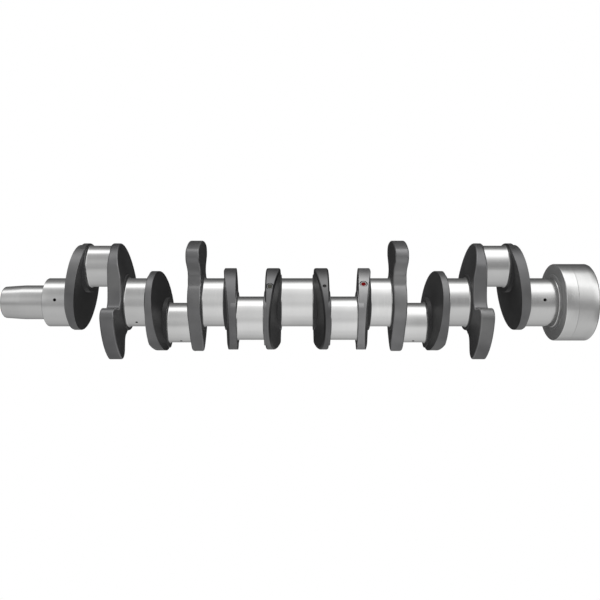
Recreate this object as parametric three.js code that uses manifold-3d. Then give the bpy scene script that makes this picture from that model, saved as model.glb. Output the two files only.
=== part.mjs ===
// Crankshaft of a 6.6-litre-class inline-six diesel engine.
//
// One forging with seven main journals, six crankpins and twelve webs, four of
// which carry fan-shaped counterweights. Every functional section of the
// forging is its own solid, and the pressed-in oil gallery plugs are separate.
//
// Frame: millimetres, origin on the spin axis at the middle of the centre main
// journal, +X along the spin axis toward the flywheel flange, +Z through
// crankpins 1 and 6. A throw angle turns about +X, from +Z toward -Y.

import * as THREE from 'three';
import { mergeVertices } from 'three/addons/utils/BufferGeometryUtils.js';
import Module from 'manifold-3d';

const wasm = await Module();
wasm.setup();

// ---------------------------------------------------------------- dimensions
const MAIN_D = 84;              // main journal diameter
const PIN_D = 72;               // crankpin diameter
const THROW = 63.5;             // half of the 127 mm stroke
const COLLAR_H = 1.5;           // height of the ground thrust collars on the webs
const MAIN_COLLAR_D = 97;       // collar round each main journal
const PIN_COLLAR_D = 91.0;      // collar round each crankpin, cut off by the web's outline

// Webs 1..6, front to middle. Webs 7..12 are their mirror image.
// x of the main-side plane, x of the pin-side plane, then the relief of each
// side: its start along the throw and its slope in degrees. A main-side relief
// runs toward the pin end, a pin-side relief toward the main end.
const WEBS = [
  { main: -387.0, pin: -361.6, mainRelief: [-17.5, 5.1], pinRelief: [73.3, 6.5] },
  { main: -293.5, pin: -316.8, mainRelief: [34.4, 10.1], pinRelief: null },
  { main: -255.3, pin: -231.6, mainRelief: [30.0, 11.6], pinRelief: [73.3, 6.5] },
  { main: -162.0, pin: -185.0, mainRelief: [35.0, 6.0], pinRelief: null },
  { main: -122.8, pin: -99.5, mainRelief: [24.4, 9.6], pinRelief: [73.3, 3.2] },
  { main: -28.6, pin: -52.7, mainRelief: [24.4, 11.3], pinRelief: null },
];
const PIN6_EXTRA = 1.9;         // the last throw is this much longer

const PLAIN_C = 26.2;           // plain web: oval centre, toward the pin
const PLAIN_A = 74.4;           // half length along the throw
const PLAIN_B = 68.6;           // half width across the throw
const LOBE_C = 38.4;            // counterweighted web: pin lobe centre
const LOBE_R = 64.8;            // pin lobe radius
const NECK = 55.1;              // half width of the neck beside the main journal
const BACK = 49.5;              // radius of the bare back beside the main journal
const CW_R_OUTER = 105.9;       // rim radius of the end counterweights, webs 2 and 11
const CW_R_INNER = 107.3;       // rim radius of the inner counterweights, webs 4 and 9
const CW_SHOULDER = 17.5;       // distance of both shoulders from the axis
const CW_ROUND = 15.5;          // rounding of the fan's two outer corners

const NOSE_END = -507.8;        // front end of the nose
const NOSE_TAPER_END = -473.8;  // where the lead-in taper ends
const NOSE_STEP = -431.5;       // shoulder between nose and main journal 1
const NOSE_D = 59.0;
const NOSE_TIP_D = 54.6;
const PALM_FRONT = 444.5;       // front face of the rear palm
const SEAL_END = 465.6;         // seal land meets the flywheel flange
const PALM_END = 500.8;         // flywheel face
const PALM_D = 133.3;
const SPIGOT_D = 52;            // pilot bore in the flywheel face
const SPIGOT_DEPTH = 20;
const BOLT_PCD = 101.6;
const BOLTS = 8;
const BOLT_D = 12.4;            // tapped for M14
const BOLT_DEPTH = 24;
const DOWEL_D = 9.6;            // one dowel hole between two bolts
const NOSE_BOLTS = 3;
const NOSE_BOLT_PCD = 32;
const NOSE_BOLT_D = 10.2;       // tapped for M12
const NOSE_BOLT_DEPTH = 26;
const TIP_REACH = 103.2;         // the pin collars carry the webs' tips out to here
const OIL_D = 5.6;              // oil drillings in the journals
const OIL_DEPTH = 10;
const PLUG_D = 10.5;            // oil gallery plugs in the web rims
const PLUG_L = 7;
const DRILL_D = 6.8;            // the one gallery mouth that has no plug, in web 7

const ROUND = 40;               // segments round a journal
const COLLAR_ROUND = 36;
const HOLE_ROUND = 10;

// ---------------------------------------------------------------- materials
const ground = () => new THREE.MeshStandardMaterial({ color: 0xb4b4b2, roughness: 0.22, metalness: 1.0 });
const turned = () => new THREE.MeshStandardMaterial({ color: 0xa9a9a7, roughness: 0.3, metalness: 1.0 });
const forged = () => new THREE.MeshStandardMaterial({ color: 0x3a3b3d, roughness: 0.55, metalness: 0.6 });
const plugRed = () => new THREE.MeshStandardMaterial({ color: 0x7a1216, roughness: 0.5, metalness: 0.2 });

// ---------------------------------------------------------------- helpers
const rad = THREE.MathUtils.degToRad;

// A closed indexed geometry with shared vertices and no collapsed triangles.
function clean(geometry) {
  const g = geometry.clone();
  g.deleteAttribute('normal');
  g.deleteAttribute('uv');
  const m = mergeVertices(g, 1e-4);
  const idx = m.index.array;
  const keep = [];
  for (let i = 0; i < idx.length; i += 3) {
    const a = idx[i], b = idx[i + 1], c = idx[i + 2];
    if (a !== b && b !== c && c !== a) keep.push(a, b, c);
  }
  m.setIndex(keep);
  return m;
}

function solid(geometry) {
  const m = clean(geometry);
  return new wasm.Manifold(new wasm.Mesh({
    numProp: 3,
    vertProperties: new Float32Array(m.attributes.position.array),
    triVerts: new Uint32Array(m.index.array),
  }));
}

function toGeometry(manifold) {
  const mesh = manifold.getMesh();
  const g = new THREE.BufferGeometry();
  g.setAttribute('position', new THREE.BufferAttribute(new Float32Array(mesh.vertProperties), 3));
  g.setIndex(Array.from(mesh.triVerts));
  g.computeVertexNormals();
  return g;
}

function node(name, geometry, material, parent) {
  const mesh = new THREE.Mesh(geometry, material);
  mesh.name = name;
  parent.add(mesh);
  return mesh;
}

// Solid of revolution about the X axis from [x, r] pairs, both ends on the axis.
function revolve(profile, segments) {
  const points = profile.map(([x, r]) => new THREE.Vector2(r, x));
  const g = new THREE.LatheGeometry(points, segments);
  g.rotateZ(-Math.PI / 2);
  return g;
}

// Cylinder along X from x0 to x1 about the line through (y, z).
function barX(x0, x1, r, segments, y = 0, z = 0) {
  const g = revolve([[x0, 0], [x0, r], [x1, r], [x1, 0]], segments);
  g.translate(0, y, z);
  return g;
}

// Cylinder in a plane of constant x. It points outward at the given angle, its
// axis passes (y0, z0), and it spans the distances d0 to d1 from there.
function barRadial(x, angle, d0, d1, r, segments, y0 = 0, z0 = 0) {
  const g = new THREE.CylinderGeometry(r, r, d1 - d0, segments);
  g.translate(0, (d0 + d1) / 2, 0);
  g.rotateX(Math.PI / 2 + rad(angle));
  g.translate(x, y0, z0);
  return g;
}

// Outlines are [p, q] points: p toward the throw's own pin, q at a right angle.
function ovalOutline(n, grow = 0) {
  const out = [];
  for (let i = 0; i < n; i++) {
    const t = (i / n) * 2 * Math.PI;
    out.push([PLAIN_C + (PLAIN_A + grow) * Math.cos(t), (PLAIN_B + grow) * Math.sin(t)]);
  }
  return out;
}

function arc(out, cp, cq, r, a0, a1, steps) {
  for (let i = 0; i <= steps; i++) {
    const t = rad(a0 + ((a1 - a0) * i) / steps);
    out.push([cp + r * Math.cos(t), cq + r * Math.sin(t)]);
  }
}

function counterweightOutline(rim) {
  const out = [];
  const s = CW_SHOULDER;
  // pin lobe, from its far flank round to its near flank
  arc(out, LOBE_C, 0, LOBE_R, -75, 75, 14);
  // near flank and neck
  out.push([34.5, 60.6], [17.5, 56.8], [0, NECK], [-8.0, 55.9]);
  // fillet into the first shoulder
  out.push([-13.6, 58.6], [-s + 0.9, 63.4], [-s, 68.0]);
  // rounded outer corner, rim, second rounded corner
  const cc = -(s + CW_ROUND);
  const cd = Math.sqrt((rim - CW_ROUND) ** 2 - cc ** 2);
  const a = THREE.MathUtils.radToDeg(Math.atan2(cd, cc));
  arc(out, cc, cd, CW_ROUND, 0, a, 4);
  arc(out, 0, 0, rim, a + 5.4, 270 - a - 5.4, 7);
  arc(out, -cd, -cc, CW_ROUND, 270 - a, 270, 4);
  // second shoulder, its fillet, and the bare back of the main journal
  out.push([-68.0, s], [-63.4, s - 0.9], [-58.6, 13.6], [-55.6, 8.0]);
  arc(out, 0, 0, BACK, 180, 262, 7);
  out.push([17.5, -56.8], [34.5, -60.6]);
  return out;
}

// One web. mainSide is -1 when the main journal is on the low-x side. The solid
// lies in its own throw's frame, pin toward +Z.
function webSolid(outline, w, mainSide) {
  const x0 = Math.min(w.main, w.pin), x1 = Math.max(w.main, w.pin);
  let web = solid(prism(outline, x0, x1));
  web = web.subtract(solid(slopeBox(w.main, mainSide, w.mainRelief[0], w.mainRelief[1], 1)));
  if (w.pinRelief) web = web.subtract(solid(slopeBox(w.pin, -mainSide, w.pinRelief[0], w.pinRelief[1], -1)));

  // ground collars, sunk into the web so that they meet its sloped parts and
  // trimmed to its outline
  const sink = w.pinRelief ? 7.6 : 3;
  const mc = mainSide < 0 ? [x0 - COLLAR_H, x0 + 7] : [x1 - 7, x1 + COLLAR_H];
  const pc = mainSide < 0 ? [x1 - sink, x1 + COLLAR_H] : [x0 - COLLAR_H, x0 + sink];
  const mainCollar = solid(barX(mc[0], mc[1], MAIN_COLLAR_D / 2, COLLAR_ROUND))
    .intersect(solid(prism(outline, x0 - 5, x1 + 5)));
  const pinCollar = solid(barX(pc[0], pc[1], PIN_COLLAR_D / 2, COLLAR_ROUND, 0, THROW))
    .intersect(solid(prism(ovalOutline(44, TIP_REACH - PLAIN_C - PLAIN_A), x0 - 5, x1 + 5)));
  return web.add(mainCollar).add(pinCollar);
}

// The outline as a prism between two planes.
function prism(outline, x0, x1) {
  const shape = new THREE.Shape(outline.map(([p, q]) => new THREE.Vector2(-q, p)));
  const g = new THREE.ExtrudeGeometry(shape, { depth: x1 - x0, bevelEnabled: false });
  // extrusion axis to +X, shape x to +Y, shape y to +Z
  g.applyMatrix4(new THREE.Matrix4().makeBasis(
    new THREE.Vector3(0, 1, 0), new THREE.Vector3(0, 0, 1), new THREE.Vector3(1, 0, 0)));
  g.translate(x0, 0, 0);
  return g;
}

// A box whose one face starts on the plane x at height z = cut and leans into
// the web by slope degrees, upward (dir 1) or downward (dir -1).
function slopeBox(x, side, cut, slope, dir) {
  const size = 260, deep = 60;
  const g = new THREE.BoxGeometry(deep, size, size);
  g.translate(side * deep / 2, 0, dir * size / 2);
  g.rotateY(-side * dir * rad(slope));
  g.translate(x, 0, cut);
  return g;
}

// ---------------------------------------------------------------- layout
const allWebs = [
  ...WEBS,
  ...WEBS.slice().reverse().map((w) => ({ ...w, main: -w.main, pin: -w.pin })),
];
allWebs[11].main += PIN6_EXTRA;
allWebs[11].pin += PIN6_EXTRA;
// [x0, x1] of each web
const webs = allWebs.map((w) => [Math.min(w.main, w.pin), Math.max(w.main, w.pin)]);
const THROW_ANGLE = [0, -120, 120, 120, -120, 0];   // pins 1..6
const COUNTERWEIGHTED = new Set([2, 4, 9, 11]);

// main journals: [x0, x1, angles of the oil drillings]
const mains = [
  [NOSE_STEP, webs[0][0] - COLLAR_H, [90, 270]],
  [webs[1][1] + COLLAR_H, webs[2][0] - COLLAR_H, [150]],
  [webs[3][1] + COLLAR_H, webs[4][0] - COLLAR_H, [8]],
  [webs[5][1] + COLLAR_H, webs[6][0] - COLLAR_H, [270]],
  [webs[7][1] + COLLAR_H, webs[8][0] - COLLAR_H, [270]],
  [webs[9][1] + COLLAR_H, webs[10][0] - COLLAR_H, [330]],
  [webs[11][1] + COLLAR_H, PALM_FRONT - COLLAR_H, [90, 270]],
];
const OIL_X = [-408.8, null, null, null, null, null, 417.4];
const PIN_OIL = [-80, -80, 66, 66, -80, -80];        // from each throw's own direction

// ---------------------------------------------------------------- assembly
const group = new THREE.Group();
group.name = 'crankshaft';

// nose
{
  let s = solid(revolve([
    [NOSE_END, 0], [NOSE_END, NOSE_TIP_D / 2 - 2], [NOSE_END + 2, NOSE_TIP_D / 2],
    [NOSE_TAPER_END, NOSE_D / 2], [NOSE_STEP, NOSE_D / 2], [NOSE_STEP, 0],
  ], ROUND));
  for (let i = 0; i < NOSE_BOLTS; i++) {
    const t = rad(90 + (360 * i) / NOSE_BOLTS);
    s = s.subtract(solid(barX(NOSE_END - 1, NOSE_END + NOSE_BOLT_DEPTH, NOSE_BOLT_D / 2, HOLE_ROUND,
      (NOSE_BOLT_PCD / 2) * Math.cos(t), (NOSE_BOLT_PCD / 2) * Math.sin(t))));
  }
  node('nose', toGeometry(s), turned(), group);
}

// main journals
mains.forEach(([x0, x1, oil], i) => {
  const r = MAIN_D / 2;
  const profile = i === 0
    ? [[x0, 0], [x0, r - 1.2], [x0 + 1.2, r], [x1, r], [x1, 0]]
    : [[x0, 0], [x0, r], [x1, r], [x1, 0]];
  let s = solid(revolve(profile, ROUND));
  for (const a of oil) {
    const x = OIL_X[i] === null ? (x0 + x1) / 2 : OIL_X[i];
    s = s.subtract(solid(barRadial(x, a, r - OIL_DEPTH, r + 2, OIL_D / 2, HOLE_ROUND)));
  }
  node(`main_journal_${i + 1}`, toGeometry(s), ground(), group);
});

// throws: two webs and their crankpin turn together
THROW_ANGLE.forEach((angle, k) => {
  const throwGroup = new THREE.Group();
  throwGroup.rotation.x = rad(angle);
  group.add(throwGroup);

  const left = webs[2 * k], rightWeb = webs[2 * k + 1];
  for (const [w, span, mainSide] of [[2 * k + 1, left, -1], [2 * k + 2, rightWeb, 1]]) {
    const cw = COUNTERWEIGHTED.has(w);
    const outline = cw ? counterweightOutline(w === 2 || w === 11 ? CW_R_OUTER : CW_R_INNER) : ovalOutline(44);
    let s = webSolid(outline, allWebs[w - 1], mainSide);
    // the rear web of each throw takes the plugged mouth of its oil gallery, and
    // web 7 has an open one
    if (mainSide > 0 || w === 7) {
      const seat = galleryMouth(cw, w === 8 ? -61 : -57);
      const x = mouthX(allWebs[w - 1], mainSide);
      const r = mainSide > 0 ? PLUG_D / 2 + 0.3 : DRILL_D / 2;
      s = s.subtract(solid(barRadial(x, seat.angle, seat.d - PLUG_L - 4, seat.d + 12, r, 14, 0, seat.z)));
      if (mainSide > 0) {
        const plug = barRadial(x, seat.angle, seat.d - PLUG_L - 1.2, seat.d - 1.2, PLUG_D / 2, 14, 0, seat.z);
        node(`oil_gallery_plug_${k + 1}`, clean(plug), plugRed(), throwGroup);
      }
    }
    node(cw ? `web_${w}_counterweighted` : `web_${w}`, toGeometry(s), forged(), throwGroup);
  }

  // crankpin
  const x0 = left[1] + COLLAR_H, x1 = rightWeb[0] - COLLAR_H;
  let s = solid(barX(x0, x1, PIN_D / 2, ROUND, 0, THROW));
  s = s.subtract(solid(barRadial((x0 + x1) / 2, PIN_OIL[k], PIN_D / 2 - OIL_DEPTH, PIN_D / 2 + 2,
    OIL_D / 2, HOLE_ROUND, 0, THROW)));
  node(`crankpin_${k + 1}`, toGeometry(s), ground(), throwGroup);
});

// Where the gallery mouth meets the rim: drilled toward the middle of the oval,
// on the side that leans away from increasing throw angle.
function galleryMouth(cw, angle) {
  const z = cw ? LOBE_C : PLAIN_C;
  const t = rad(angle);
  const d = cw ? LOBE_R : 1 / Math.sqrt((Math.cos(t) / PLAIN_A) ** 2 + (Math.sin(t) / PLAIN_B) ** 2);
  return { angle, z, d };
}

// Middle of the rim at the height of the gallery mouth, between both reliefs.
function mouthX(w, mainSide) {
  const p = 63;
  const a = w.main - mainSide * Math.max(0, p - w.mainRelief[0]) * Math.tan(rad(w.mainRelief[1]));
  const b = w.pinRelief ? w.pin + mainSide * Math.max(0, w.pinRelief[0] - p) * Math.tan(rad(w.pinRelief[1])) : w.pin;
  return (a + b) / 2;
}

// rear palm: seal land and flywheel flange
{
  const land = revolve([
    [PALM_FRONT - COLLAR_H, 0], [PALM_FRONT - COLLAR_H, MAIN_COLLAR_D / 2], [PALM_FRONT, MAIN_COLLAR_D / 2],
    [PALM_FRONT, PALM_D / 2 - 1.0], [PALM_FRONT + 1.0, PALM_D / 2],
    [SEAL_END - 0.4, PALM_D / 2], [SEAL_END, PALM_D / 2 - 0.4], [SEAL_END, 0],
  ], 56);
  node('rear_seal_land', clean(land), ground(), group);

  let s = solid(revolve([
    [SEAL_END, 0], [SEAL_END, PALM_D / 2 - 0.4], [SEAL_END + 0.4, PALM_D / 2],
    [PALM_END - 2, PALM_D / 2], [PALM_END, PALM_D / 2 - 2], [PALM_END, 0],
  ], 56));
  s = s.subtract(solid(barX(PALM_END - SPIGOT_DEPTH, PALM_END + 2, SPIGOT_D / 2, 40)));
  for (let i = 0; i < BOLTS; i++) {
    const t = rad(22.5 + (360 * i) / BOLTS);
    s = s.subtract(solid(barX(PALM_END - BOLT_DEPTH, PALM_END + 2, BOLT_D / 2, 12,
      (BOLT_PCD / 2) * Math.cos(t), (BOLT_PCD / 2) * Math.sin(t))));
  }
  s = s.subtract(solid(barX(PALM_END - 14, PALM_END + 2, DOWEL_D / 2, HOLE_ROUND, 0, BOLT_PCD / 2)));
  node('flywheel_flange', toGeometry(s), turned(), group);
}

export default group;
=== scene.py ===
import bpy
import bmesh
import math
from mathutils import Matrix, Vector


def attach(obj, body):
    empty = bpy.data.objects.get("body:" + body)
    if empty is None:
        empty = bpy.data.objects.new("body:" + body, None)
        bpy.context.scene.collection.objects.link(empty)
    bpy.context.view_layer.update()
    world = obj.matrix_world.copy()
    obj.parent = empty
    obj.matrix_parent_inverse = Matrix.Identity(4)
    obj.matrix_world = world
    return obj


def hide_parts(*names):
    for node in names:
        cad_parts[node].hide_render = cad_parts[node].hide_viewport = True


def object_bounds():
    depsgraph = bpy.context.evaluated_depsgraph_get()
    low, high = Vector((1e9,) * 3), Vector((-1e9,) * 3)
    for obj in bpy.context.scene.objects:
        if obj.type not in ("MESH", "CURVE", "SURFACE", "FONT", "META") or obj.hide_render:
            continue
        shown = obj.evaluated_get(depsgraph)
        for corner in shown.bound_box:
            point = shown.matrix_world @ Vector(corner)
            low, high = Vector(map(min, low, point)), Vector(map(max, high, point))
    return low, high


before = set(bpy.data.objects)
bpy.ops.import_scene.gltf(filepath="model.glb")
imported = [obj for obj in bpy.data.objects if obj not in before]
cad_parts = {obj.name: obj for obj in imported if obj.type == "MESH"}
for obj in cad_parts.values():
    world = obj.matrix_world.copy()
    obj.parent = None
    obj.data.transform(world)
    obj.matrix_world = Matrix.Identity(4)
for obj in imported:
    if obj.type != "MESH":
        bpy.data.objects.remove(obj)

CAD_BOX = [list(c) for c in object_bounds()]
MM = 0.001
rad = math.radians

# ------------------------------------------------------------ dimensions, mm
MAIN_D, PIN_D, THROW = 84.0, 72.0, 63.5
COLLAR_H = 1.5
MAIN_COLLAR_D, PIN_COLLAR_D = 97.0, 91.0
PIN6_EXTRA = 1.9
PLAIN_C, PLAIN_A, PLAIN_B = 26.2, 74.4, 68.6
LOBE_C, LOBE_R, NECK, BACK = 38.4, 64.8, 55.1, 49.5
CW_R_OUTER, CW_R_INNER = 105.9, 107.3
CW_SHOULDER, CW_ROUND = 17.5, 15.5
TIP_REACH = 103.2
NOSE_END, NOSE_TAPER_END, NOSE_STEP, NOSE_D, NOSE_TIP_D = -507.8, -473.8, -431.5, 59.0, 54.6
PALM_FRONT, SEAL_END, PALM_END, PALM_D = 444.5, 465.6, 500.8, 133.3
SPIGOT_D, SPIGOT_DEPTH = 52.0, 20.0
BOLT_PCD, BOLTS, BOLT_D, BOLT_DEPTH, DOWEL_D = 101.6, 8, 12.4, 24.0, 9.6
NOSE_BOLTS, NOSE_BOLT_PCD, NOSE_BOLT_D, NOSE_BOLT_DEPTH = 3, 32.0, 10.2, 26.0
OIL_D, OIL_D_SMALL, OIL_DEPTH = 4.8, 3.8, 10.0
PLUG_L = 7.0
FILLET = 1.7                  # concave fillet between a journal and its collar
EDGE = 2.6                    # rounding of the webs' edges

WEBS = [
    dict(main=-387.0, pin=-361.6, mr=(-17.5, 5.1), pr=(73.3, 6.5)),
    dict(main=-293.5, pin=-316.8, mr=(34.4, 10.1), pr=None),
    dict(main=-255.3, pin=-231.6, mr=(30.0, 11.6), pr=(73.3, 6.5)),
    dict(main=-162.0, pin=-185.0, mr=(35.0, 6.0), pr=None),
    dict(main=-122.8, pin=-99.5, mr=(24.4, 9.6), pr=(73.3, 3.2)),
    dict(main=-28.6, pin=-52.7, mr=(24.4, 11.3), pr=None),
]
ALL = [dict(w) for w in WEBS] + [dict(w, main=-w["main"], pin=-w["pin"]) for w in reversed(WEBS)]
ALL[11]["main"] += PIN6_EXTRA
ALL[11]["pin"] += PIN6_EXTRA
SPAN = [(min(w["main"], w["pin"]), max(w["main"], w["pin"])) for w in ALL]
THROW_ANGLE = [0, -120, 120, 120, -120, 0]
CW = {2, 4, 9, 11}
MAINS = [
    (NOSE_STEP, SPAN[0][0] - COLLAR_H, -408.8, [90, 270]),
    (SPAN[1][1] + COLLAR_H, SPAN[2][0] - COLLAR_H, None, [150]),
    (SPAN[3][1] + COLLAR_H, SPAN[4][0] - COLLAR_H, None, [8]),
    (SPAN[5][1] + COLLAR_H, SPAN[6][0] - COLLAR_H, None, [270]),
    (SPAN[7][1] + COLLAR_H, SPAN[8][0] - COLLAR_H, None, [270]),
    (SPAN[9][1] + COLLAR_H, SPAN[10][0] - COLLAR_H, None, [330]),
    (SPAN[11][1] + COLLAR_H, PALM_FRONT - COLLAR_H, 417.4, [90, 270]),
]
PIN_OIL = [-80, -80, 66, 66, -80, -80]

scene = bpy.context.scene
coll = scene.collection
scene.view_settings.view_transform = 'Standard'


# ------------------------------------------------------------ node helpers
class Graph:
    def __init__(self, tree):
        self.t = tree
        tree.nodes.clear()

    def n(self, kind, **inputs):
        node = self.t.nodes.new(kind)
        for k, v in inputs.items():
            if k in ("operation", "blend_type", "data_type", "noise_dimensions", "wave_type",
                     "bands_direction", "wave_profile", "use_clamp", "interpolation_type", "clamp",
                     "distance", "feature"):
                setattr(node, k, v)
        return node

    def link(self, a, b):
        self.t.links.new(a, b)


def material(name, base, dark, light, rough, rough_var, metallic, streak=False, grain=60.0,
             bump=0.05, spot=0.0, spec=0.5):
    """Metal with large soft colour variation, fine grain, and turning or grinding marks."""
    m = bpy.data.materials.new(name)
    m.use_nodes = True
    g = Graph(m.node_tree)
    out = g.n("ShaderNodeOutputMaterial")
    bsdf = g.n("ShaderNodeBsdfPrincipled")
    bsdf.inputs["Metallic"].default_value = metallic
    bsdf.inputs["Specular IOR Level"].default_value = spec
    g.link(bsdf.outputs["BSDF"], out.inputs["Surface"])
    tc = g.n("ShaderNodeTexCoord")

    # large soft variation
    big = g.n("ShaderNodeTexNoise")
    big.inputs["Scale"].default_value = 14.0
    big.inputs["Detail"].default_value = 3.0
    g.link(tc.outputs["Object"], big.inputs["Vector"])
    ramp = g.n("ShaderNodeValToRGB")
    ramp.color_ramp.elements[0].position = 0.32
    ramp.color_ramp.elements[0].color = (*dark, 1)
    ramp.color_ramp.elements[1].position = 0.68
    ramp.color_ramp.elements[1].color = (*light, 1)
    mid = ramp.color_ramp.elements.new(0.5)
    mid.color = (*base, 1)
    g.link(big.outputs["Fac"], ramp.inputs["Fac"])
    g.link(ramp.outputs["Color"], bsdf.inputs["Base Color"])

    # fine marks: stretched round the shaft on turned faces, even grain elsewhere
    mapn = g.n("ShaderNodeMapping")
    g.link(tc.outputs["Object"], mapn.inputs["Vector"])
    mapn.inputs["Scale"].default_value = (1.0, 0.035, 0.035) if streak else (1.0, 1.0, 1.0)
    fine = g.n("ShaderNodeTexNoise")
    fine.inputs["Scale"].default_value = 900.0 if streak else grain * 10
    fine.inputs["Detail"].default_value = 4.0
    fine.inputs["Roughness"].default_value = 0.6
    g.link(mapn.outputs["Vector"], fine.inputs["Vector"])
    rr = g.n("ShaderNodeMapRange")
    rr.inputs["From Min"].default_value = 0.3
    rr.inputs["From Max"].default_value = 0.7
    rr.inputs["To Min"].default_value = rough - rough_var
    rr.inputs["To Max"].default_value = rough + rough_var
    g.link(fine.outputs["Fac"], rr.inputs["Value"])
    g.link(rr.outputs["Result"], bsdf.inputs["Roughness"])
    # the marks, and a soft waviness under them, as relief
    wavy = g.n("ShaderNodeTexNoise")
    wavy.inputs["Scale"].default_value = 45.0 if not streak else 30.0
    wavy.inputs["Detail"].default_value = 2.0
    g.link(mapn.outputs["Vector"], wavy.inputs["Vector"])
    b1 = g.n("ShaderNodeBump")
    b1.inputs["Strength"].default_value = bump
    b1.inputs["Distance"].default_value = 0.0006
    g.link(wavy.outputs["Fac"], b1.inputs["Height"])
    b2 = g.n("ShaderNodeBump")
    b2.inputs["Strength"].default_value = bump
    b2.inputs["Distance"].default_value = 0.0001
    g.link(fine.outputs["Fac"], b2.inputs["Height"])
    g.link(b1.outputs["Normal"], b2.inputs["Normal"])
    g.link(b2.outputs["Normal"], bsdf.inputs["Normal"])
    return m




def forged_rim(name, v, grey=0.0):
    return material(name, (v, v, v * 1.015), (v * 0.82, v * 0.82, v * 0.835), (v * 1.24, v * 1.24, v * 1.24),
                    0.40, 0.05, 1.0, grain=70, bump=0.30)


def forged_face(name, v):
    return material(name, (v, v, v * 1.02), (v * 0.75, v * 0.75, v * 0.77), (v * 1.3, v * 1.3, v * 1.32),
                    0.50, 0.06, 0.0, grain=70, bump=0.35, spec=0.30)


# darker and lighter copies of the rim steel for webs 7, 8 and 9: painted shade and painted light
M_FORGED = forged_rim("forged_rim_steel", 0.215)
M_RIM_PAINTED_SHADE = forged_rim("forged_rim_painted_shade", 0.175)
M_RIM_PAINTED_HIGHLIGHT = forged_rim("forged_rim_painted_highlight", 0.36)
M_RIM_PAINTED_LIGHT = forged_rim("forged_rim_painted_light", 0.27)
# the lighter copy of the rim steel for the rounded edges is a painted highlight; the near-black copy for webs 5 to 8 is
# painted shade
M_EDGE_PAINTED_HIGHLIGHT = forged_rim("forged_edge_painted_highlight", 0.33)
M_EDGE_PAINTED_SHADE = forged_rim("forged_edge_painted_shade", 0.085)
M_FACE = forged_face("forged_face_steel", 0.038)
# the lighter copy of the face steel for webs 10 to 12 is painted light
M_FACE_PAINTED_LIGHT = forged_face("forged_face_painted_light", 0.054)
M_PALM = material("turned_shoulder_steel", (0.29, 0.29, 0.29), (0.26, 0.26, 0.26), (0.32, 0.32, 0.32),
                  0.50, 0.05, 0.0, grain=80, bump=0.15, spec=0.35)
M_GROUND = material("ground_journal_steel", (0.74, 0.74, 0.735), (0.70, 0.70, 0.70), (0.78, 0.78, 0.775),
                    0.17, 0.035, 1.0, streak=True, bump=0.05)
M_TURNED = material("turned_steel", (0.71, 0.71, 0.705), (0.67, 0.67, 0.67), (0.75, 0.75, 0.745),
                    0.21, 0.045, 1.0, streak=True, bump=0.08)
M_CHEEK = material("ground_cheek_steel", (0.045, 0.045, 0.046), (0.034, 0.034, 0.035), (0.058, 0.058, 0.059),
                   0.40, 0.05, 0.25, grain=60, bump=0.15, spec=0.35)
# near-black steel on every drilled hole's wall is painted shade inside the bore
M_BORE_PAINTED_SHADE = material("drilled_bore_painted_shade", (0.055, 0.055, 0.055), (0.04, 0.04, 0.04), (0.075, 0.075, 0.075),
                   0.6, 0.08, 0.0, grain=90, bump=0.3)
M_PLUG = material("plug_sealant_red", (0.17, 0.002, 0.003), (0.10, 0.001, 0.002), (0.22, 0.004, 0.005),
                  0.60, 0.08, 0.0, grain=90, bump=0.3, spec=0.06)
M_OLIVE = material("plug_sealant_olive", (0.095, 0.095, 0.078), (0.07, 0.07, 0.058), (0.12, 0.12, 0.098),
                   0.60, 0.08, 0.0, grain=90, bump=0.3, spec=0.1)


# ------------------------------------------------------------ mesh helpers
def obj_from_bm(name, bm, mats):
    bmesh.ops.recalc_face_normals(bm, faces=bm.faces)
    me = bpy.data.meshes.new(name)
    bm.to_mesh(me)
    bm.free()
    for m in mats:
        me.materials.append(m)
    o = bpy.data.objects.new(name, me)
    coll.objects.link(o)
    return o


def lathe(profile, seg, mat_of=None, cy=0.0, cz=0.0):
    """Closed solid of revolution about the line y=cy, z=cz from [x, r] pairs that start and end on the axis."""
    bm = bmesh.new()
    rings = []
    for x, r in profile:
        if r <= 1e-6:
            rings.append([bm.verts.new((x * MM, cy * MM, cz * MM))])
        else:
            rings.append([bm.verts.new((x * MM, (cy + r * math.sin(2 * math.pi * i / seg)) * MM,
                                        (cz + r * math.cos(2 * math.pi * i / seg)) * MM)) for i in range(seg)])
    for k in range(len(rings) - 1):
        a, b = rings[k], rings[k + 1]
        mi = mat_of(k) if mat_of else 0
        if len(a) == 1 and len(b) == 1:
            continue
        for i in range(seg):
            j = (i + 1) % seg
            if len(a) == 1:
                f = bm.faces.new((a[0], b[i], b[j]))
            elif len(b) == 1:
                f = bm.faces.new((a[i], a[j], b[0]))
            else:
                f = bm.faces.new((a[i], a[j], b[j], b[i]))
            f.material_index = mi
    return bm


def radial_cutter(x, angle, profile, seg, cy=0.0, cz=0.0):
    """Solid of revolution pointing outward at angle from +Z toward -Y, from [distance, radius] pairs."""
    bm = lathe(profile, seg)
    # the lathe's axis is +X: turn it to +Z, then about X by the angle
    bmesh.ops.transform(bm, matrix=Matrix.Rotation(-math.pi / 2, 4, 'Y'), verts=bm.verts)
    bmesh.ops.transform(bm, matrix=Matrix.Rotation(rad(angle), 4, 'X'), verts=bm.verts)
    bmesh.ops.transform(bm, matrix=Matrix.Translation((x * MM, cy * MM, cz * MM)), verts=bm.verts)
    return bm


def prism(outline, x0, x1):
    """outline of (p, q) in mm, p to +Z and q to -Y."""
    bm = bmesh.new()
    a = [bm.verts.new((x0 * MM, -q * MM, p * MM)) for p, q in outline]
    b = [bm.verts.new((x1 * MM, -q * MM, p * MM)) for p, q in outline]
    n = len(outline)
    bm.faces.new(a)
    bm.faces.new(list(reversed(b)))
    for i in range(n):
        j = (i + 1) % n
        bm.faces.new((a[j], a[i], b[i], b[j]))
    bmesh.ops.recalc_face_normals(bm, faces=bm.faces)
    return bm


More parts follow.
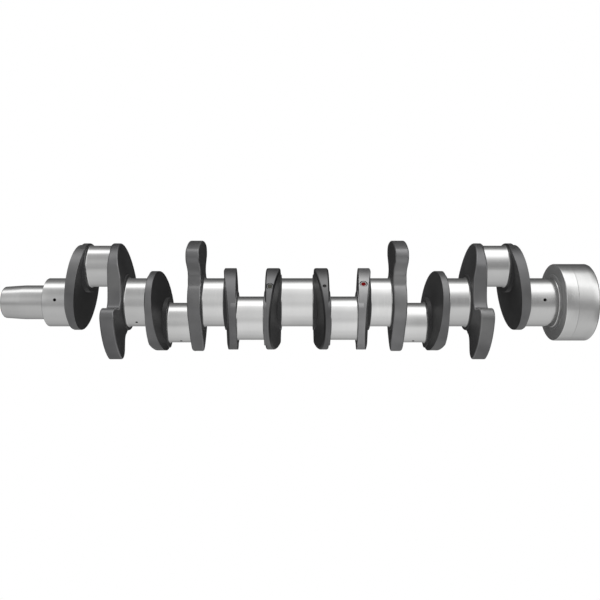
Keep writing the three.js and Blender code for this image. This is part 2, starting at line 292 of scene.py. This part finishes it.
def bevel_by_angle(bm, width, segments, min_angle):
    bm.normal_update()
    edges = [e for e in bm.edges if len(e.link_faces) == 2 and e.calc_face_angle(0.0) > rad(min_angle)]
    bmesh.ops.bevel(bm, geom=edges, offset=width * MM, offset_type='OFFSET', segments=segments,
                    profile=0.5, affect='EDGES', clamp_overlap=True)


def boolean(target, other, op):
    mod = target.modifiers.new("b", 'BOOLEAN')
    mod.operation = op
    mod.solver = 'MANIFOLD'
    mod.object = other
    if hasattr(mod, "material_mode"):
        mod.material_mode = 'TRANSFER'
    dg = bpy.context.evaluated_depsgraph_get()
    me = bpy.data.meshes.new_from_object(target.evaluated_get(dg), preserve_all_data_layers=True, depsgraph=dg)
    target.modifiers.clear()
    old = target.data
    target.data = me
    bpy.data.meshes.remove(old)
    om = other.data
    bpy.data.objects.remove(other)
    bpy.data.meshes.remove(om)
    return target


def finish(o, name, node, angle=32, planes=()):
    """planes: outward directions of a web's broad planes. Where two of them meet, the crease stays crisp."""
    o.name = name
    me = o.data
    me.name = name
    bm = bmesh.new()
    bm.from_mesh(me)
    bmesh.ops.remove_doubles(bm, verts=bm.verts, dist=1e-6)
    bmesh.ops.dissolve_degenerate(bm, dist=1e-6, edges=bm.edges)
    bm.to_mesh(me)
    bm.free()
    me.shade_smooth()
    me.set_sharp_from_angle(angle=rad(angle))
    if planes:
        bm = bmesh.new()
        bm.from_mesh(me)
        bm.normal_update()
        group = {}
        for f in bm.faces:
            best = max(range(len(planes)), key=lambda k: f.normal.dot(planes[k]))
            group[f.index] = best + 1 if f.normal.dot(planes[best]) > 0.99985 else 0
            # broad faces take slot 4 and rounded edges slot 5, the edge steel with painted highlight or painted shade
            if f.material_index in (0, 4, 5):
                f.material_index = 4 if abs(f.normal.x) > 0.93 else (5 if abs(f.normal.x) > 0.30 else 0)
        for e in bm.edges:
            if len(e.link_faces) == 2:
                ga, gb = (group[f.index] for f in e.link_faces)
                ma, mb = (f.material_index for f in e.link_faces)
                if (ga and gb and ga != gb) or ((ma == 1) != (mb == 1)):
                    e.smooth = False
        bm.to_mesh(me)
        bm.free()
    w = o.modifiers.new("weighted", 'WEIGHTED_NORMAL')
    w.keep_sharp = True
    w.weight = 90
    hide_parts(node)
    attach(o, "root")
    return o


def turned_by(o, angle):
    m = Matrix.Rotation(rad(angle), 4, 'X')
    o.data.transform(m)
    return o


# ------------------------------------------------------------ outlines
def oval(n, grow=0.0):
    return [(PLAIN_C + (PLAIN_A + grow) * math.cos(2 * math.pi * i / n),
             (PLAIN_B + grow) * math.sin(2 * math.pi * i / n)) for i in range(n)]


def arc(out, cp, cq, r, a0, a1, steps):
    for i in range(steps + 1):
        t = rad(a0 + (a1 - a0) * i / steps)
        out.append((cp + r * math.cos(t), cq + r * math.sin(t)))


def smooth_closed(points, step):
    """Points on a closed curve, resampled so that no gap is longer than step, with Catmull-Rom between them."""
    n = len(points)
    out = []
    for i in range(n):
        p0, p1, p2, p3 = (Vector(points[(i + k - 1) % n]) for k in range(4))
        d = (p2 - p1).length
        m = max(1, int(math.ceil(d / step)))
        for k in range(m):
            t = k / m
            if d > 25:       # long straight stretch: keep it straight
                q = p1.lerp(p2, t)
            else:
                # centripetal form, so uneven spacing makes no loops
                t0 = 0.0
                t1 = t0 + max((p1 - p0).length, 1e-6) ** 0.5
                t2 = t1 + max(d, 1e-6) ** 0.5
                t3 = t2 + max((p3 - p2).length, 1e-6) ** 0.5
                u = t1 + (t2 - t1) * t
                a1 = p0 * ((t1 - u) / (t1 - t0)) + p1 * ((u - t0) / (t1 - t0))
                a2 = p1 * ((t2 - u) / (t2 - t1)) + p2 * ((u - t1) / (t2 - t1))
                a3 = p2 * ((t3 - u) / (t3 - t2)) + p3 * ((u - t2) / (t3 - t2))
                b1 = a1 * ((t2 - u) / (t2 - t0)) + a2 * ((u - t0) / (t2 - t0))
                b2 = a2 * ((t3 - u) / (t3 - t1)) + a3 * ((u - t1) / (t3 - t1))
                q = b1 * ((t2 - u) / (t2 - t1)) + b2 * ((u - t1) / (t2 - t1))
            out.append((q.x, q.y))
    return out


def cw_outline(rim):
    out = []
    s = CW_SHOULDER
    arc(out, LOBE_C, 0, LOBE_R, -75, 75, 30)
    out += [(34.5, 60.6), (17.5, 56.8), (0, NECK), (-8.0, 55.9), (-13.6, 58.6), (-s + 0.9, 63.4), (-s, 68.0)]
    cc = -(s + CW_ROUND)
    cd = math.sqrt((rim - CW_ROUND) ** 2 - cc ** 2)
    a = math.degrees(math.atan2(cd, cc))
    arc(out, cc, cd, CW_ROUND, 0, a, 8)
    arc(out, 0, 0, rim, a + 3, 270 - a - 3, 18)
    arc(out, -cd, -cc, CW_ROUND, 270 - a, 270, 8)
    out += [(-68.0, s), (-63.4, s - 0.9), (-58.6, 13.6), (-55.6, 8.0)]
    arc(out, 0, 0, BACK, 180, 262, 14)
    out += [(17.5, -56.8), (34.5, -60.6)]
    return smooth_closed(out, 3.2)


def ray_hit(outline, cp, t):
    """First distance from (cp, 0) to the outline in direction t."""
    dx, dy = math.cos(t), math.sin(t)
    best = 1e9
    n = len(outline)
    for i in range(n):
        ax, ay = outline[i][0] - cp, outline[i][1]
        bx, by = outline[(i + 1) % n][0] - cp, outline[(i + 1) % n][1]
        ex, ey = bx - ax, by - ay
        det = ex * dy - ey * dx
        if abs(det) < 1e-12:
            continue
        d = (ex * ay - ey * ax) / -det if False else (ax * ey - ay * ex) / (dx * ey - dy * ex)
        u = (ax * dy - ay * dx) / (dx * ey - dy * ex)
        if d > 0 and -1e-9 <= u <= 1 + 1e-9:
            best = min(best, d)
    return best


def collar_outline(outline, cp, r, inset, n=120):
    pts = []
    for i in range(n):
        t = 2 * math.pi * i / n
        d = min(r, ray_hit(outline, cp, t) - inset)
        pts.append((cp + d * math.cos(t), d * math.sin(t)))
    return pts


# ------------------------------------------------------------ webs
def relieve(bm, x, side, start, slope, direction):
    """Cuts away what lies outside a plane that starts at (x, p=start) and leans into the web."""
    s = rad(slope)
    # outward normal of the sloped face
    no = Vector((side * math.cos(s), 0.0, direction * math.sin(s)))
    co = Vector((x * MM, 0.0, start * MM))
    geom = bm.verts[:] + bm.edges[:] + bm.faces[:]
    res = bmesh.ops.bisect_plane(bm, geom=geom, plane_co=co, plane_no=no, clear_outer=True, dist=1e-7)
    edges = [e for e in res["geom_cut"] if isinstance(e, bmesh.types.BMEdge)]
    bmesh.ops.contextual_create(bm, geom=edges)
    bmesh.ops.recalc_face_normals(bm, faces=bm.faces)


def gallery(cw, angle):
    z = LOBE_C if cw else PLAIN_C
    t = rad(angle)
    d = LOBE_R if cw else 1 / math.sqrt((math.cos(t) / PLAIN_A) ** 2 + (math.sin(t) / PLAIN_B) ** 2)
    return z, d


def mouth_x(w, side):
    p = 63
    a = w["main"] - side * max(0, p - w["mr"][0]) * math.tan(rad(w["mr"][1]))
    b = w["pin"] + side * max(0, w["pr"][0] - p) * math.tan(rad(w["pr"][1])) if w["pr"] else w["pin"]
    return (a + b) / 2


def build_web(i):
    w = ALL[i - 1]
    x0, x1 = SPAN[i - 1]
    k = (i - 1) // 2
    side = -1 if i % 2 == 1 else 1
    cw = i in CW
    outline = cw_outline((CW_R_OUTER if i in (2, 11) else CW_R_INNER) - 0.12) if cw else oval(150, -0.15)
    bm = prism(outline, x0, x1)
    relieve(bm, w["main"], side, w["mr"][0], w["mr"][1], 1)
    if w["pr"]:
        relieve(bm, w["pin"], -side, w["pr"][0], w["pr"][1], -1)
    bevel_by_angle(bm, {5: 4.6, 8: 4.6, 6: 3.4, 7: 3.4}.get(i, EDGE), 6, 40)
    name = f"web_{i}_counterweighted" if cw else f"web_{i}"
    # webs 7, 8 and 9 take darker and lighter copies of the rim steel: painted shade on 7, painted highlight on 8,
    # painted light on 9
    rim = {7: M_RIM_PAINTED_SHADE, 8: M_RIM_PAINTED_HIGHLIGHT, 9: M_RIM_PAINTED_LIGHT}.get(i, M_FORGED)
    # webs 10 to 12 take the face steel's lighter copy, painted light
    web_mats = [rim, M_CHEEK, M_GROUND, M_BORE_PAINTED_SHADE, M_FACE_PAINTED_LIGHT if i >= 10 else M_FACE,
                # rounded edges: painted shade on webs 5 to 8, painted highlight on the others
                M_EDGE_PAINTED_SHADE if 5 <= i <= 8 else M_EDGE_PAINTED_HIGHLIGHT]
    o = obj_from_bm(name + "_body", bm, web_mats)

    # collars, trimmed to the outline
    sink = 7.6 if w["pr"] else 3.0
    tip = oval(150, TIP_REACH - PLAIN_C - PLAIN_A)
    for cp, r, face, inward, depth, inset, lim in (
            (0.0, MAIN_COLLAR_D / 2, w["main"], -side, 7.0, 0.5, outline),
            (THROW, PIN_COLLAR_D / 2, w["pin"], side, sink, 0.0, tip)):
        a, b = sorted((face - inward * COLLAR_H, face + inward * depth))
        pts = collar_outline(lim, cp, r, inset)
        cb = prism(pts, a, b)
        cb.normal_update()
        top = face - inward * COLLAR_H
        edges = [e for e in cb.edges if all(abs(v.co.x - top * MM) < 1e-7 for v in e.verts)]
        bmesh.ops.bevel(cb, geom=edges, offset=0.8 * MM, offset_type='OFFSET', segments=3, profile=0.5,
                        affect='EDGES', clamp_overlap=True)
        for f in cb.faces:
            c = f.calc_center_median()
            flush = abs(f.normal.x) < 0.5 and ((i in (5, 6, 7, 8) and cp > 0) or math.hypot(c.y, c.z - cp * MM) < (r - 0.5) * MM)
            f.material_index = 0 if flush else 1
        c = obj_from_bm("collar", cb, web_mats)
        boolean(o, c, 'UNION')

    # gallery mouth
    if side > 0 or i == 7:
        z, d = gallery(cw, -61 if i == 8 else -57)
        x = mouth_x(w, side)
        ang = -61 if i == 8 else -57
        if side > 0:
            prof = [[d - PLUG_L - 4, 0], [d - PLUG_L - 4, 5.35], [d - 1.5, 5.35], [d + 0.2, 6.9], [d + 8, 6.9], [d + 8, 0]]
        else:
            prof = [[d - 5.0, 0], [d - 5.0, 3.0], [d - 0.6, 3.0], [d + 0.3, 3.4], [d + 8, 3.4], [d + 8, 0]]
        cb = radial_cutter(x, ang, prof, 32, 0, z)
        for f in cb.faces:
            c = f.calc_center_median()
            f.material_index = 3
        c = obj_from_bm("cutter", cb, web_mats)
        # every face of the cutter takes one material: the web's rim steel where a plug goes in, the near-black bore
        # steel with painted shade on web 7
        for f in c.data.polygons:
            rr = (Vector((f.center.x - x * MM, f.center.y, f.center.z - z * MM)) -
                  Vector((0, -math.sin(rad(ang)), math.cos(rad(ang)))) *
                  Vector((f.center.x - x * MM, f.center.y, f.center.z - z * MM)).dot(
                      Vector((0, -math.sin(rad(ang)), math.cos(rad(ang)))))).length
            f.material_index = 3 if side < 0 else 0
        boolean(o, c, 'DIFFERENCE')
        if side > 0:
            # plug: a steel cup pressed in, its middle filled with sealant
            t = d - 1.6
            prof = [[t - PLUG_L, 0], [t - PLUG_L, 5.2], [t - 0.3, 5.2], [t, 4.9], [t, 3.95], [t - 0.6, 3.75],
                    [t - 0.45, 2.9], [t - 0.3, 1.5], [t - 0.25, 0]]
            pb = lathe(prof, 40, mat_of=lambda q: 0 if q < 5 else 1)
            bmesh.ops.transform(pb, matrix=Matrix.Rotation(-math.pi / 2, 4, 'Y'), verts=pb.verts)
            bmesh.ops.transform(pb, matrix=Matrix.Rotation(rad(ang), 4, 'X'), verts=pb.verts)
            bmesh.ops.transform(pb, matrix=Matrix.Translation((x * MM, 0, z * MM)), verts=pb.verts)
            # the steel cups of the plugs, except web 6's, take the lighter rim copy, a painted highlight
            p = obj_from_bm("plug", pb, [rim, M_OLIVE] if i == 6 else [M_RIM_PAINTED_HIGHLIGHT, M_PLUG])
            turned_by(p, THROW_ANGLE[k])
            finish(p, f"gallery_plug_{k + 1}", f"oil_gallery_plug_{k + 1}", 40)
    turned_by(o, THROW_ANGLE[k])
    planes = [Vector((1, 0, 0)), Vector((-1, 0, 0))]
    for rel, sd, dr in ((w["mr"], side, 1), (w["pr"], -side, -1)):
        if rel:
            a = rad(rel[1])
            planes.append(Matrix.Rotation(rad(THROW_ANGLE[k]), 3, 'X') @ Vector((sd * math.cos(a), 0, dr * math.sin(a))))
    finish(o, f"{name}_look", name, planes=planes)
    o.visible_glossy = False      # journals stay clean of their neighbours' dark reflections
    return o


# ------------------------------------------------------------ journals
def fillet_profile(x0, x1, r, left, right, n=6):
    """[x, r] pairs of a journal with a concave fillet at either end."""
    out = [[x0, 0]]
    if left:
        for i in range(n + 1):
            t = math.pi / 2 * i / n
            out.append([x0 + FILLET * (1 - math.cos(t)), r + FILLET * (1 - math.sin(t))])
    else:
        out += [[x0, r - 1.2], [x0 + 0.5, r - 0.35], [x0 + 1.2, r]]
    # a few rings along the ground width, so that shading stays even
    lo = out[-1][0]
    hi = x1 - FILLET if right else x1
    for i in range(1, 4):
        out.append([lo + (hi - lo) * i / 4, r])
    if right:
        for i in range(n + 1):
            t = math.pi / 2 * (1 - i / n)
            out.append([x1 - FILLET * (1 - math.cos(t)), r + FILLET * (1 - math.sin(t))])
    else:
        out.append([x1, r])
    out.append([x1, 0])
    return out


def oil_hole(o, x, angle, r, cz=0.0, d=OIL_D):
    prof = [[r - OIL_DEPTH, 0], [r - OIL_DEPTH, d / 2], [r - 0.8, d / 2], [r - 0.3, d / 2 + 0.12], [r + 0.5, d / 2 + 0.7],
            [r + 6, d / 2 + 0.7], [r + 6, 0]]
    cb = radial_cutter(x, angle, prof, 28, 0, cz)
    for f in cb.faces:
        f.material_index = 1
    c = obj_from_bm("cutter", cb, [M_GROUND, M_BORE_PAINTED_SHADE])
    boolean(o, c, 'DIFFERENCE')


def build_main(i):
    x0, x1, ox, angles = MAINS[i]
    prof = fillet_profile(x0, x1, MAIN_D / 2, i != 0, True)
    o = obj_from_bm("main", lathe(prof, 192), [M_GROUND, M_BORE_PAINTED_SHADE])
    for a in angles:
        oil_hole(o, (x0 + x1) / 2 if ox is None else ox, a, MAIN_D / 2, d=OIL_D if i in (0, 6) else OIL_D_SMALL)
    return finish(o, f"main_{i + 1}_look", f"main_journal_{i + 1}")


def build_pin(k):
    x0, x1 = SPAN[2 * k][1] + COLLAR_H, SPAN[2 * k + 1][0] - COLLAR_H
    prof = fillet_profile(x0, x1, PIN_D / 2, True, True)
    o = obj_from_bm("pin", lathe(prof, 176, cz=THROW), [M_GROUND, M_BORE_PAINTED_SHADE])
    oil_hole(o, (x0 + x1) / 2, PIN_OIL[k], PIN_D / 2, THROW, OIL_D_SMALL)
    turned_by(o, THROW_ANGLE[k])
    return finish(o, f"crankpin_{k + 1}_look", f"crankpin_{k + 1}")


# ------------------------------------------------------------ nose and palm
def axial_cut(o, x_from, x_to, r, y, z, seg, chamfer, mats, index=1):
    sgn = 1 if x_to > x_from else -1
    prof = [[x_from, 0], [x_from, r], [x_to - sgn * chamfer, r], [x_to + sgn * 0.4, r + chamfer + 0.4],
            [x_to + sgn * 3, r + chamfer + 0.4], [x_to + sgn * 3, 0]]
    cb = lathe(prof, seg, cy=y, cz=z)
    for f in cb.faces:
        f.material_index = index
    c = obj_from_bm("cutter", cb, mats)
    boolean(o, c, 'DIFFERENCE')


def build_nose():
    r, rt = NOSE_D / 2, NOSE_TIP_D / 2
    prof = [[NOSE_END, 0], [NOSE_END, rt - 2.0], [NOSE_END + 0.3, rt - 1.2], [NOSE_END + 0.9, rt - 0.45],
            [NOSE_END + 2, rt], [NOSE_TAPER_END - 6, rt + (r - rt) * 28 / 34], [NOSE_TAPER_END - 2, r - 0.18],
            [NOSE_TAPER_END + 2, r], [NOSE_STEP - 20, r], [NOSE_STEP - 0.01, r], [NOSE_STEP - 0.01, 0]]
    mats = [M_TURNED, M_BORE_PAINTED_SHADE]
    o = obj_from_bm("nose", lathe(prof, 176), mats)
    for i in range(NOSE_BOLTS):
        t = rad(90 + 360 * i / NOSE_BOLTS)
        axial_cut(o, NOSE_END + NOSE_BOLT_DEPTH, NOSE_END, NOSE_BOLT_D / 2,
                  NOSE_BOLT_PCD / 2 * math.cos(t), NOSE_BOLT_PCD / 2 * math.sin(t), 28, 0.8, mats)
    axial_cut(o, NOSE_END + 9, NOSE_END, 2.4, 0, 0, 24, 2.6, mats, 0)
    return finish(o, "nose_look", "nose")


def build_palm():
    R = PALM_D / 2
    mc = MAIN_COLLAR_D / 2
    land = [[PALM_FRONT - COLLAR_H, 0], [PALM_FRONT - COLLAR_H, mc - 0.6], [PALM_FRONT - COLLAR_H + 0.2, mc - 0.15],
            [PALM_FRONT - COLLAR_H + 0.6, mc], [PALM_FRONT, mc], [PALM_FRONT, R - 2.0],
            [PALM_FRONT + 0.25, R - 1.1], [PALM_FRONT + 0.8, R - 0.4], [PALM_FRONT + 1.8, R],
            [SEAL_END - 8, R], [SEAL_END - 0.35, R], [SEAL_END, R - 0.35], [SEAL_END, 0]]
    o = obj_from_bm("land", lathe(land, 224, mat_of=lambda q: 1 if q < 6 else 0), [M_GROUND, M_PALM])
    finish(o, "seal_land_look", "rear_seal_land")

    flange = [[SEAL_END, 0], [SEAL_END, R - 0.35], [SEAL_END + 0.35, R], [SEAL_END + 10, R], [PALM_END - 12, R],
              [PALM_END - 2.4, R], [PALM_END - 1.1, R - 0.45], [PALM_END - 0.4, R - 1.2], [PALM_END, R - 2.4], [PALM_END, 0]]
    mats = [M_TURNED, M_BORE_PAINTED_SHADE]
    o = obj_from_bm("flange", lathe(flange, 224), mats)
    axial_cut(o, PALM_END - SPIGOT_DEPTH, PALM_END, SPIGOT_D / 2, 0, 0, 96, 1.0, mats, 0)
    for i in range(BOLTS):
        t = rad(22.5 + 360 * i / BOLTS)
        axial_cut(o, PALM_END - BOLT_DEPTH, PALM_END, BOLT_D / 2, BOLT_PCD / 2 * math.cos(t),
                  BOLT_PCD / 2 * math.sin(t), 32, 0.9, mats)
    axial_cut(o, PALM_END - 14, PALM_END, DOWEL_D / 2, 0, BOLT_PCD / 2, 28, 0.6, mats)
    return finish(o, "flange_look", "flywheel_flange")


build_nose()
for i in range(7):
    build_main(i)
for k in range(6):
    build_pin(k)
for i in range(1, 13):
    build_web(i)
build_palm()

# every CAD node that stays in the file also gets a finished material
for name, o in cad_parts.items():
    m = M_FORGED
    if name.startswith(("main_journal", "crankpin", "rear_seal")):
        m = M_GROUND
    elif name in ("nose", "flywheel_flange"):
        m = M_TURNED
    elif name.startswith("oil_gallery_plug"):
        m = M_PLUG
    for s in o.material_slots:
        s.material = m

# ------------------------------------------------------------ stage
low = min(CAD_BOX[0][2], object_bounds()[0][2])
bm = bmesh.new()
v = [bm.verts.new(c) for c in ((-3.2, -2.6, low), (3.2, -2.6, low), (3.2, 3.0, low), (-3.2, 3.0, low))]
bm.faces.new(v)
fm = bpy.data.materials.new("studio_floor")
fm.use_nodes = True
g = Graph(fm.node_tree)
out = g.n("ShaderNodeOutputMaterial")
dif = g.n("ShaderNodeBsdfDiffuse")
noise = g.n("ShaderNodeTexNoise")
noise.inputs["Scale"].default_value = 3.0
fr = g.n("ShaderNodeValToRGB")
fr.color_ramp.elements[0].color = (0.86, 0.86, 0.86, 1)
fr.color_ramp.elements[1].color = (0.90, 0.90, 0.90, 1)
g.link(noise.outputs["Fac"], fr.inputs["Fac"])
g.link(fr.outputs["Color"], dif.inputs["Color"])
tr = g.n("ShaderNodeBsdfTransparent")
mix = g.n("ShaderNodeMixShader")
geo = g.n("ShaderNodeNewGeometry")
g.link(geo.outputs["Backfacing"], mix.inputs[0])
g.link(dif.outputs[0], mix.inputs[1])
g.link(tr.outputs[0], mix.inputs[2])
g.link(mix.outputs[0], out.inputs["Surface"])
fme = bpy.data.meshes.new("studio_floor")
bm.normal_update()
for f in bm.faces:
    if f.normal.z < 0:
        f.normal_flip()
bm.to_mesh(fme)
bm.free()
fme.materials.append(fm)
floor = bpy.data.objects.new("studio_floor", fme)
coll.objects.link(floor)
floor.visible_glossy = False

# ------------------------------------------------------------ world: soft studio
world = bpy.data.worlds.new("studio")
scene.world = world
world.use_nodes = True
g = Graph(world.node_tree)
out = g.n("ShaderNodeOutputWorld")
bg = g.n("ShaderNodeBackground")
bgc = g.n("ShaderNodeBackground")
bgc.inputs["Color"].default_value = (1, 1, 1, 1)
bgc.inputs["Strength"].default_value = 1.0
mixw = g.n("ShaderNodeMixShader")
lp = g.n("ShaderNodeLightPath")
g.link(lp.outputs["Is Camera Ray"], mixw.inputs[0])
g.link(bg.outputs[0], mixw.inputs[1])
g.link(bgc.outputs[0], mixw.inputs[2])
g.link(mixw.outputs[0], out.inputs["Surface"])
tc = g.n("ShaderNodeTexCoord")
sep = g.n("ShaderNodeSeparateXYZ")
g.link(tc.outputs["Generated"], sep.inputs[0])


def math_node(op, a, b=None, clamp=False):
    m = g.n("ShaderNodeMath")
    m.operation = op
    m.use_clamp = clamp
    for i, v in enumerate((a, b)):
        if v is None:
            continue
        if isinstance(v, (int, float)):
            m.inputs[i].default_value = v
        else:
            g.link(v, m.inputs[i])
    return m.outputs[0]


def ramp_node(fac, stops, interp='LINEAR'):
    r = g.n("ShaderNodeValToRGB")
    r.color_ramp.interpolation = interp
    els = r.color_ramp.elements
    while len(els) > 1:
        els.remove(els[-1])
    els[0].position, els[0].color = stops[0][0], (stops[0][1],) * 3 + (1,)
    for p, c in stops[1:]:
        e = els.new(p)
        e.color = (c, c, c, 1)
    g.link(fac, r.inputs["Fac"])
    return r.outputs["Color"]


neg_y = math_node('MULTIPLY', sep.outputs["Y"], -1.0)
ang = math_node('ARCTAN2', sep.outputs["Z"], neg_y)          # 0 front, +pi/2 up, pi back
t = math_node('ADD', math_node('DIVIDE', ang, 2 * math.pi), 0.5)
ax = math_node('ABSOLUTE', sep.outputs["X"])


def deg(a):
    return a / 360 + 0.5


# Luminance round the shaft, from behind-below through the front to behind-above, halved to fit the ramps.
# Three soft set-ups that blend along the shaft: left, middle and right.
def setup(stops, at=None):
    return ramp_node(at or t, [(deg(a), v / 2) for a, v in stops], 'EASE')


left = setup([(-180, .16), (-150, .34), (-120, .50), (-88, .58), (-45, .63), (-32, .60), (-18, .43), (0, .46),
              (15, .53), (40, .44), (57, .48), (66, .80), (73, 1.55), (86, 1.50), (98, .60), (108, .30),
              (126, .19), (145, .12), (180, .10)])
# the right-hand lights lean, so their edges slope across the rear palm
lean = math_node('MINIMUM', math_node('MULTIPLY', math_node('MAXIMUM', math_node('SUBTRACT', sep.outputs["X"], 0.385), 0.0), 2.4), 0.11)
right = setup([(-180, .16), (-150, .34), (-120, .50), (-88, .59), (-45, .66), (-33, .64), (-22, .40), (-8, .30),
               (8, .33), (24, .52), (37, .85), (47, 1.35), (60, 1.50), (86, 1.50), (98, .70), (108, .30),
               (126, .17), (145, .09), (180, .08)], math_node('ADD', t, lean))
middle = setup([(-180, .18), (-150, .36), (-120, .55), (-88, .70), (-62, .85), (-40, .88), (-12, .70), (5, .76),
                (28, .76), (45, .86), (58, .98), (67, 1.45), (90, 1.50), (101, .80), (110, .34),
                (126, .15), (145, .09), (180, .08)])


def mix_value(fac, a, b):
    m = g.n("ShaderNodeMix")
    m.data_type = 'FLOAT'
    g.link(fac, m.inputs[0])
    g.link(a, m.inputs[2])
    g.link(b, m.inputs[3])
    return m.outputs[0]


x01 = math_node('ADD', math_node('MULTIPLY', sep.outputs["X"], 0.5), 0.5)   # 0 left, 1 right
to_right = ramp_node(x01, [(0.48, 0.0), (0.54, 1.0)], 'EASE')
ends = mix_value(to_right, left, right)
in_middle = ramp_node(ax, [(0.0, 1.0), (0.115, 1.0), (0.185, 0.0), (1.0, 0.0)], 'EASE')
lum = mix_value(in_middle, ends, middle)
# brighter a little right of the middle, and dark toward both ends of the room
along = ramp_node(x01, [(0.0, 0.42), (0.03, 0.36), (0.07, 0.12), (0.12, 0.12), (0.25, 0.47), (0.50, 0.50), (0.535, 0.50), (0.56, 0.62),
                        (0.585, 0.56), (0.60, 0.50), (0.75, 0.47), (0.88, 0.12), (0.93, 0.12), (0.97, 0.36), (1.0, 0.42)], 'EASE')
lum = math_node('MULTIPLY', lum, along)
# two slanting soft reflections beside the middle
slant = math_node('SUBTRACT', math_node('MULTIPLY', ang, 180 / math.pi),
                  math_node('MULTIPLY', math_node('SUBTRACT', ax, 0.10), 1444.0))
stripe = ramp_node(math_node('ADD', math_node('DIVIDE', slant, 400.0), 0.5),
                   [(0.0, 0.5), (0.36, 0.5), (0.39, 0.56), (0.47, 0.57), (0.49, 0.47), (0.56, 0.5), (1.0, 0.5)], 'EASE')
lum = math_node('MULTIPLY', lum, mix_value(in_middle, math_node('ADD', 0.5, 0.0), stripe))
# a soft panel low on the left, seen in the nose
low_left = math_node('MULTIPLY', ramp_node(x01, [(0.0, 1.0), (0.306, 1.0), (0.318, 0.0), (1.0, 0.0)], 'EASE'),
                     ramp_node(t, [(deg(-14), 0.0), (deg(4), 1.0), (deg(52), 1.0), (deg(68), 0.0)], 'EASE'))
lum = math_node('MULTIPLY', lum, math_node('ADD', 1.0, math_node('MULTIPLY', low_left, 0.42)))
lum = math_node('MULTIPLY', lum, 8.0)
bg.inputs["Strength"].default_value = 1.0
comb = g.n("ShaderNodeCombineColor")
for i in range(3):
    g.link(lum, comb.inputs[i])
g.link(comb.outputs[0], bg.inputs["Color"])

# ------------------------------------------------------------ lights
def area(name, loc, target, size, power):
    ld = bpy.data.lights.new(name, 'AREA')
    ld.shape = 'RECTANGLE'
    ld.size, ld.size_y = size
    ld.energy = power
    o = bpy.data.objects.new(name, ld)
    o.location = loc
    o.rotation_euler = (Vector(target) - Vector(loc)).to_track_quat('-Z', 'Y').to_euler()
    coll.objects.link(o)
    return o


key = area("overhead_softbox", (0.0, 0.25, 1.7), (0, 0, 0), (2.6, 0.7), 12)
key.visible_glossy = False

# ------------------------------------------------------------ camera
A = rad(5.7)
fwd = Vector((0, math.cos(A), math.sin(A)))
up = Vector((0, -math.sin(A), math.cos(A)))
cam_d = bpy.data.cameras.new("camera")
cam_d.sensor_width = 36.0
cam_d.lens = 36.0 * 690.0 / 600.0
cam_d.shift_x = 2.8 / 600.0
cam_d.clip_start = 0.05
cam_d.clip_end = 50
cam = bpy.data.objects.new("camera", cam_d)
cam.location = -1.204 * fwd + 0.0040 * up
cam.rotation_euler = (math.pi / 2 + A, 0, 0)
coll.objects.link(cam)
scene.camera = cam
